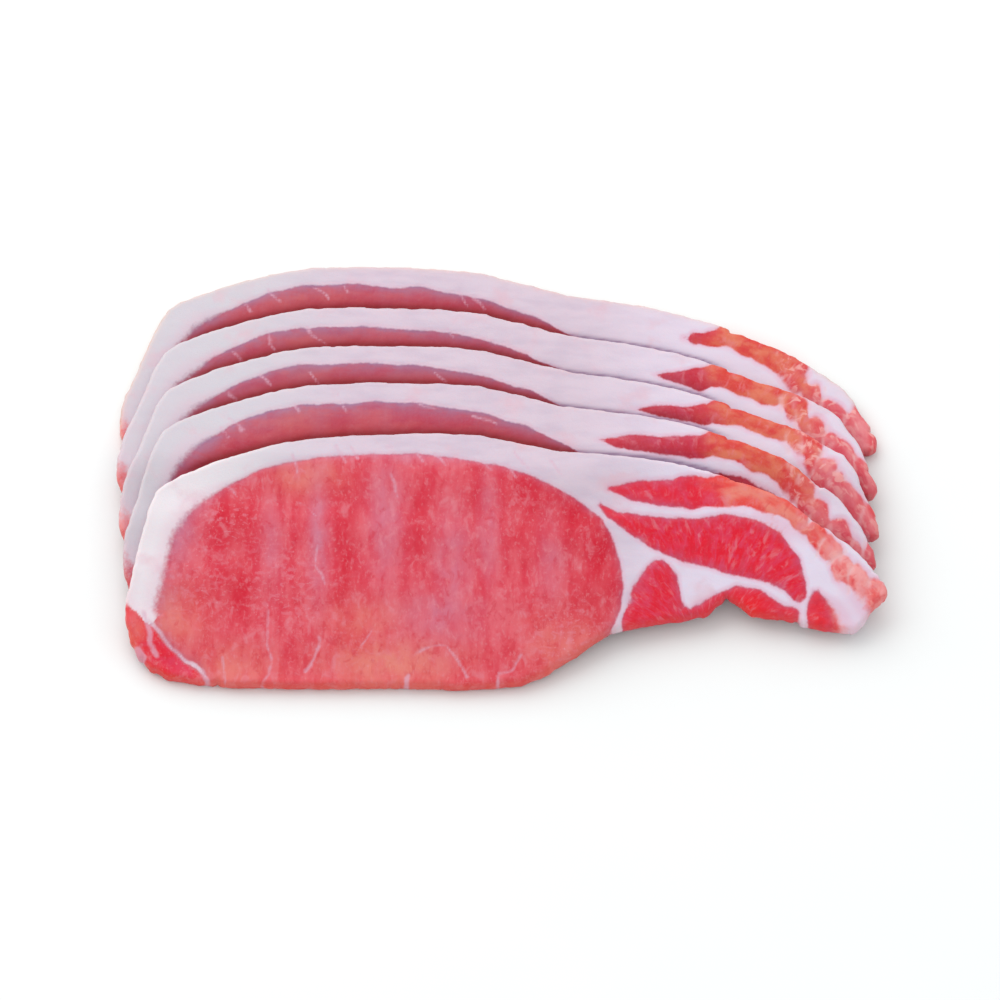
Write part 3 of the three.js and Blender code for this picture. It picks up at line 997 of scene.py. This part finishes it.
# Colours of the material, as red, green and blue that show on a level face in this light
COLOURS = {
    "fat": (228, 209, 224),
    "fat cool": (210, 192, 211),
    "fat left": (219, 216, 224),
    "fat pale": (253, 245, 251),
    # Whiter fat at the loin's end, partly its own colour and partly painted light for fat sloping into
    # shade
    "fat right": (248, 238, 258),
    "fat stain": (236, 190, 204),
    "fat blush": (242, 174, 202),
    "fat tan": (250, 196, 150),
    "loin": (232, 58, 80),
    "loin band": (240, 102, 116),
    "loin salmon": (244, 138, 126),
    "loin red": (224, 22, 52),
    "loin lilac": (222, 134, 160),
    "dark": (240, 12, 48),
    "dark line": (234, 62, 100),
    # Darker copies for the slices lying under the front one: painted shade
    "dark rear": (206, 12, 46),
    "dark rear line": (208, 52, 86),
    "dark red": (252, 4, 26),
    "light": (246, 80, 74),
    "light blotch": (246, 142, 126),
    # Darker copies for the slices lying under the front one: painted shade
    "light rear": (228, 66, 56),
    "light rear blotch": (236, 128, 98),
    "end": (250, 106, 104),
    "end blotch": (258, 176, 178),
    # Darker copies for the slices lying under the front one: painted shade
    "end rear": (240, 98, 106),
    "end rear blotch": (254, 168, 174),
    "bead": (230, 78, 100),
    "bead milky": (258, 196, 190),
    "lump pale": (240, 146, 160),
    "lump red": (220, 36, 60),
    "mottle": (240, 154, 164),
    "stroke": (240, 150, 170),
    # Pale dots: partly flecks, partly painted highlights for wet glints
    "dot_and_glint": (246, 190, 200),
    # The loin of the slices under the front one, darker as painted shade, with patches
    "strip": (184, 46, 80),
    "strip patch": (203, 88, 96),
    # The orange of the cut edge: partly its own colour, partly painted light lifting the edge wall that
    # lies in shade
    "rim loin": (250, 100, 64),
    "rim flank": (250, 66, 48),
    "veil": (156, 124, 160),
    # Painted shade: crimson for the lean in the shadow along the next slice's edge, and a lighter one at
    # the flank's end
    "contact_shade": (172, 14, 40),
    "fold end": (216, 66, 94),
    "vein": (232, 184, 206),
    "wall": (250, 200, 204),
}

# What the painted shade along the next slice's edge leaves of the colour, on lean and on fat
SHADED_LEAN = (0.60, 0.16, 0.24, 1.0)
SHADED_FAT = (0.46, 0.36, 0.46, 1.0)

# Patterns of the material: what they follow, their stretch along and across it, then the noise's
# scale, detail, roughness and distortion
PATTERNS = {
    "stains": ("plan", (1.0, 1.0), 0.10, 3.0, 0.6, 0.0),
    "cool": ("plan", (0.4, 1.4), 0.3, 3.0, 0.5, 0.0),
    "bands": ("plan", (1.0, 0.14), 0.30, 3.0, 0.6, 0.0),
    "uneven": ("plan", (1.0, 0.5), 0.35, 3.0, 0.5, 0.0),
    "lines": ("fibre", (0.7, 0.3), 0.6, 2.0, 0.5, 0.8),
    "blotches": ("fibre", (0.7, 1.2), 0.26, 3.0, 0.5, 0.0),
    "pinks": ("plan", (1.0, 1.0), 0.22, 2.0, 0.5, 0.0),
    "milky": ("plan", (1.0, 1.0), 0.45, 2.0, 0.5, 0.6),
    "loin lumps": ("plan", (1.0, 0.6), 0.40, 3.0, 0.6, 0.5),
    "flank lumps": ("fibre", (1.0, 0.6), 0.40, 3.0, 0.6, 0.5),
    "loin mottle": ("plan", (1.0, 0.6), 1.4, 3.0, 0.6, 0.0),
    "flank mottle": ("fibre", (1.0, 0.8), 1.4, 3.0, 0.6, 0.0),
    "loin ridges": ("plan", (0.5, 1.1), 0.40, 1.0, 0.5, 0.8),
    "flank ridges": ("fibre", (1.2, 0.5), 0.40, 1.0, 0.5, 0.8),
    "parts": ("plan", (1.0, 1.0), 0.7, 2.0, 0.5, 0.0),
    "dots_and_glints": ("plan", (1.0, 1.0), 2.0, 2.0, 0.5, 0.0),
    "ragged": ("plan", (1.0, 1.0), 1.1, 3.0, 0.6, 0.0),
    "torn": ("fibre", (1.0, 0.6), 0.7, 2.0, 0.5, 0.0),
    "patchy": ("plan", (0.45, 1.2), 0.16, 3.0, 0.6, 0.0),
    "smears": ("plan", (0.7, 1.2), 0.30, 3.0, 0.6, 0.0),
    "thread": ("plan", (1.0, 1.0), 0.7, 3.0, 0.5, 0.0),
    "wet": ("plan", (1.0, 1.0), 0.35, 3.0, 0.6, 0.0),
    "grain": ("plan", (1.0, 1.0), 1.6, 5.0, 0.65, 0.6),
}
GRAIN_STRENGTH = 0.5
GRAIN_HEIGHT = 0.15
SHEEN = 0.22
BLEED = 0.12
BLEED_REACH = (1.0, 0.35, 0.25)


def display_colour(red, green, blue):
    """A colour as it looks on a level face in this light, given in 0 to 255 display values."""
    def linear(part):
        part = part / 255.0
        return part / 12.92 if part <= 0.04045 else ((part + 0.055) / 1.055) ** 2.4
    return (linear(red) / LIGHT_LEVEL, linear(green) / LIGHT_LEVEL, linear(blue) / LIGHT_LEVEL, 1.0)


class Bacon(Graph):
    """The one material of a rasher: fat, loin and flank, told apart by the slice's fields."""

    def __init__(self):
        super().__init__("raw_bacon")
        self.along = {name: self.attribute(name, "Vector") for name in ("plan", "fibre")}
        self.field = {name: self.attribute(name) for name in SHADER_FIELDS}

    def pattern(self, name):
        follows, stretch, *shape = PATTERNS[name]
        vector = self.along[follows]
        if stretch != (1.0, 1.0):
            vector = self.stretch(vector, (*stretch, 1.0))
        return self.noise(vector, *shape)

    def both_patterns(self, name):
        """A pattern that follows the plan in the loin and the fibres in the flank."""
        flank = self.field["flank"]
        in_flank = self.times(flank, self.pattern(f"flank {name}"))
        in_loin = self.times(self.math("SUBTRACT", 1.0, flank), self.pattern(f"loin {name}"))
        return self.math("ADD", in_flank, in_loin)

    def spread(self, name, low, high, start=0.0, end=1.0):
        """How strong a pattern is, from its low value to its high one."""
        return self.ramp(self.pattern(name), low, high, start, end)

    def centred(self, name, amount):
        """A pattern as a shift both ways."""
        return self.times(self.math("SUBTRACT", self.pattern(name), 0.5), amount)

    def tint(self, factor, base, name, share=1.0):
        """A base colour, tinted by a named one."""
        factor = factor if share == 1.0 else self.times(factor, share)
        return self.mix(factor, base, display_colour(*COLOURS[name]))

    def pair(self, factor, first, second):
        return self.tint(factor, display_colour(*COLOURS[first]), second)

    def fat(self):
        """Lavender white, whiter at the loin's end and lifted there by painted light, with pink stains and
        cooler tones.
        """
        across = self.split(self.along["plan"])[0]
        right = self.ramp(across, 12.0, 46.0)
        cool = self.spread("cool", 0.35, 0.75)
        fat = self.pair(self.times(cool, 0.6), "fat", "fat cool")
        fat = self.tint(self.ramp(across, -30.0, -66.0), fat, "fat left", 0.8)
        fat = self.tint(self.field["pale"], fat, "fat pale", 0.85)
        # Painted light in part: the fat at the loin's end made whiter still, most on the front slice, where
        # it slopes into shade
        whiter_and_lit = self.times(right, self.ramp(self.field["front"], 0.0, 1.0, 0.45, 0.75))
        fat = self.tint(whiter_and_lit, fat, "fat right")
        fat = self.tint(self.spread("stains", 0.54, 0.74), fat, "fat stain", 0.5)
        near_lean = self.ramp(self.field["lean"], 1.2, 0.2)
        fat = self.tint(self.times(near_lean, self.ramp(right, 0.0, 1.0, 0.22, 0.42)), fat, "fat blush")
        return self.tint(self.times(self.field["rim"], self.field["tan"]), fat, "fat tan", 0.6)

    def loin(self):
        """Pink red, with lilac bands, redder and salmon patches."""
        uneven = self.spread("uneven", 0.32, 0.62, 0.5, 1.0)
        loin = self.pair(self.spread("bands", 0.35, 0.68), "loin", "loin band")
        for name in ("salmon", "red", "lilac"):
            loin = self.tint(self.times(self.field[name], uneven), loin, f"loin {name}")
        return loin

    def dark_flank(self):
        """Deep red with fine lines across, in a darker copy on the slices under the front one as painted
        shade.
        """
        lines = self.spread("lines", 0.40, 0.70)
        front = self.pair(self.times(lines, 0.8), "dark", "dark line")
        rear = self.pair(lines, "dark rear", "dark rear line")
        dark = self.mix(self.field["front"], rear, front)
        return self.tint(self.field["red"], dark, "dark red")

    def light_flank(self):
        """Mottled orange, and salmon pink at the end, in darker copies on the slices under the front one as
        painted shade.
        """
        blotches = self.spread("blotches", 0.34, 0.64)
        colours = []
        for name in ("light", "end"):
            front = self.pair(blotches, name, f"{name} blotch")
            rear = self.pair(blotches, f"{name} rear", f"{name} rear blotch")
            colours.append(self.mix(self.field["front"], rear, front))
        return self.mix(self.times(self.field["pink"], 0.85), *colours)

    def lean(self):
        """The loin and the flank, with the milky beads at its end."""
        meat = self.mix(self.field["deep"], self.loin(), self.dark_flank())
        meat = self.mix(self.field["warm"], meat, self.light_flank())
        pinks = self.times(self.field["end"], self.spread("pinks", 0.42, 0.60))
        meat = self.tint(pinks, meat, "bead", 0.45)
        milky = self.times(self.field["end"], self.spread("milky", 0.50, 0.64))
        return self.tint(milky, meat, "bead milky", 0.72)

    def grained(self, meat):
        """Soft mottling at two sizes, then short pale strokes, and pale dots in groups that are partly
        flecks and partly painted wet glints.
        """
        lumps = self.both_patterns("lumps")
        meat = self.tint(self.ramp(lumps, 0.52, 0.72, 0.0, 0.45), meat, "lump pale")
        meat = self.tint(self.ramp(lumps, 0.46, 0.30, 0.0, 0.45), meat, "lump red")
        plain = self.math("SUBTRACT", 1.0, self.times(self.field["flank"], 0.6))
        mottle = self.ramp(self.both_patterns("mottle"), 0.52, 0.75, 0.0, 0.35)
        meat = self.tint(self.times(mottle, plain), meat, "mottle")
        groups = self.ramp(self.field["flecks"], 0.0, 1.0, 0.12, 1.0)
        ridge = self.math("ABSOLUTE", self.math("SUBTRACT", self.both_patterns("ridges"), 0.5))
        strokes = self.times(self.ramp(ridge, 0.12, 0.0), self.spread("parts", 0.46, 0.60))
        meat = self.tint(self.times(strokes, groups), meat, "stroke", 0.42)
        # Pale dots: partly the meat's own flecks, partly painted highlights for wet glints
        dots_and_glints = self.spread("dots_and_glints", 0.64, 0.74)
        return self.tint(self.times(dots_and_glints, groups), meat, "dot_and_glint", 0.4)

    def veiled(self, meat):
        """The strips of loin that show between slices, darkened as painted shade, the edge's orange tint
        that is partly painted light, the veil, and the painted shade along the next slice's edge.
        """
        # Painted shade: the loin of the slices under the front one in a darker strip colour
        strip = self.pair(self.spread("patchy", 0.38, 0.62), "strip", "strip patch")
        meat = self.mix(self.times(self.field["rear"], 0.66), meat, strip)
        # The orange edge tint: partly the cut edge's colour, partly painted light on the shaded edge wall
        rim = self.pair(self.field["flank"], "rim loin", "rim flank")
        meat = self.mix(self.times(self.field["rim"], 0.42), meat, rim)
        smears = self.spread("smears", 0.38, 0.58, 0.6, 1.0)
        meat = self.tint(self.times(self.field["veil"], smears), meat, "veil", 0.92)
        # Painted shade: crimson lean in the shadow along the next slice's edge
        crimson = self.pair(self.field["end"], "contact_shade", "fold end")
        return self.mix(self.times(self.field["contact_shade"], 0.75), meat, crimson)

    def fat_share(self):
        """Where fat ends and lean begins: a ragged line, softer at the flank's end."""
        edge = self.math("ADD", self.field["lean"], self.centred("ragged", 0.55))
        edge = self.math("ADD", edge, self.times(self.centred("torn", 0.4), self.field["flank"]))
        blur = self.ramp(self.field["end"], 0.0, 1.0, 0.35, 0.75)
        return self.ramp(edge, self.math("MULTIPLY", blur, -1.0), 0.30)

    def body(self):
        """Fat and lean with veins, walls, and painted shade that darkens the colour along the next slice's
        edge.
        """
        is_fat = self.fat_share()
        body = self.mix(is_fat, self.veiled(self.grained(self.lean())), self.fat())
        thread = self.math("ADD", self.field["vein"], self.centred("thread", 0.9))
        body = self.tint(self.ramp(thread, 0.62, -0.15, 0.0, 0.62), body, "vein")
        body = self.tint(self.field["wall"], body, "wall", 0.6)
        # Painted shade: the colour darkened most right at the next slice's edge, more narrowly on fat
        contact_darkening = self.math("POWER", self.field["contact_shade"], self.ramp(is_fat, 0.0, 1.0, 3.0, 6.0))
        contact_darkening = self.times(contact_darkening, self.ramp(self.field["end"], 0.0, 1.0, 1.0, 0.45))
        return self.mix(contact_darkening, body, self.mix(is_fat, SHADED_LEAN, SHADED_FAT), "MULTIPLY")

    def finish(self):
        inputs = self.shader.inputs
        self.put(inputs["Base Color"], self.body())
        self.put(inputs["Roughness"], self.spread("wet", 0.3, 0.7, 0.30, 0.48))
        inputs["Subsurface Weight"].default_value = BLEED
        inputs["Subsurface Radius"].default_value = BLEED_REACH
        inputs["Subsurface Scale"].default_value = MM
        inputs["Specular IOR Level"].default_value = SHEEN
        bump = self.tree.nodes.new("ShaderNodeBump")
        bump.inputs["Strength"].default_value = GRAIN_STRENGTH
        bump.inputs["Distance"].default_value = GRAIN_HEIGHT * MM
        self.put(bump.inputs["Height"], self.pattern("grain"))
        self.put(inputs["Normal"], bump.outputs[0])
        return self.material


# The stage: a pale floor, a white sky and one large soft light from behind on the left
FLOOR_HALF = 3.0
FLOOR_HEIGHT = -0.05
FLOOR_COLOURS = ((0.80, 0.82, 0.82, 1.0), (0.82, 0.84, 0.84, 1.0))
FLOOR_SPECKS = (30.0, 2.0)
FLOOR_ROUGHNESS = 0.9
FLOOR_SHEEN = 0.1
SKY_COLOUR = (1.0, 1.0, 1.0, 1.0)
SKY_STRENGTH = 0.94
LIGHT_PLACE = (-0.48, 0.70, 0.80)
LIGHT_SIZE = 1.5
LIGHT_POWER = 9.2


def floor_material():
    graph = Graph("pale_floor")
    inputs = graph.shader.inputs
    place = graph.tree.nodes.new("ShaderNodeTexCoord").outputs["Object"]
    graph.put(inputs["Base Color"], graph.mix(graph.noise(place, *FLOOR_SPECKS), *FLOOR_COLOURS))
    inputs["Roughness"].default_value = FLOOR_ROUGHNESS
    inputs["Specular IOR Level"].default_value = FLOOR_SHEEN
    return graph.material


def build_floor():
    mesh = bpy.data.meshes.new("floor")
    half, height = FLOOR_HALF, FLOOR_HEIGHT * MM
    corners = [(-half, -half, height), (half, -half, height), (half, half, height), (-half, half, height)]
    mesh.from_pydata(corners, [], [(0, 1, 2, 3)])
    mesh.materials.append(floor_material())
    floor = bpy.data.objects.new("floor", mesh)
    bpy.context.scene.collection.objects.link(floor)
    floor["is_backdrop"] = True


def aim(thing, target):
    direction = Vector(target) - thing.location
    thing.rotation_euler = direction.to_track_quat("-Z", "Y").to_euler()


def build_sky():
    world = bpy.data.worlds.new("studio")
    world.use_nodes = True
    background = world.node_tree.nodes["Background"]
    background.inputs["Color"].default_value = SKY_COLOUR
    background.inputs["Strength"].default_value = SKY_STRENGTH
    bpy.context.scene.world = world


def build_light():
    data = bpy.data.lights.new("key", "AREA")
    data.shape = "DISK"
    data.size = LIGHT_SIZE
    data.energy = LIGHT_POWER
    light = bpy.data.objects.new("key", data)
    light.location = LIGHT_PLACE
    aim(light, (0.0, 0.0, 0.0))
    bpy.context.scene.collection.objects.link(light)


def build_camera():
    data = bpy.data.cameras.new("camera")
    data.lens = CAMERA_LENS
    data.sensor_width = SENSOR_WIDTH
    data.clip_end = CAMERA_REACH
    camera = bpy.data.objects.new("camera", data)
    distance = CAMERA_LENS * IMAGE_SIZE / (SENSOR_WIDTH * PIXELS_PER_MM) * MM
    tilt = math.radians(CAMERA_ELEVATION)
    target = Vector([part * MM for part in CAMERA_TARGET])
    camera.location = target + distance * Vector((0.0, -math.cos(tilt), math.sin(tilt)))
    aim(camera, target)
    bpy.context.scene.collection.objects.link(camera)
    bpy.context.scene.camera = camera


bacon = Bacon().finish()
for slice_level in range(SLICE_COUNT):
    build_slice(slice_level, bacon)
build_floor()
build_sky()
build_light()
build_camera()
bpy.context.scene.view_settings.view_transform = "Standard"

boxes = {"cad": CAD_BOX, "visual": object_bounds()}
{key: [list(corner) for corner in box] for key, box in boxes.items()}
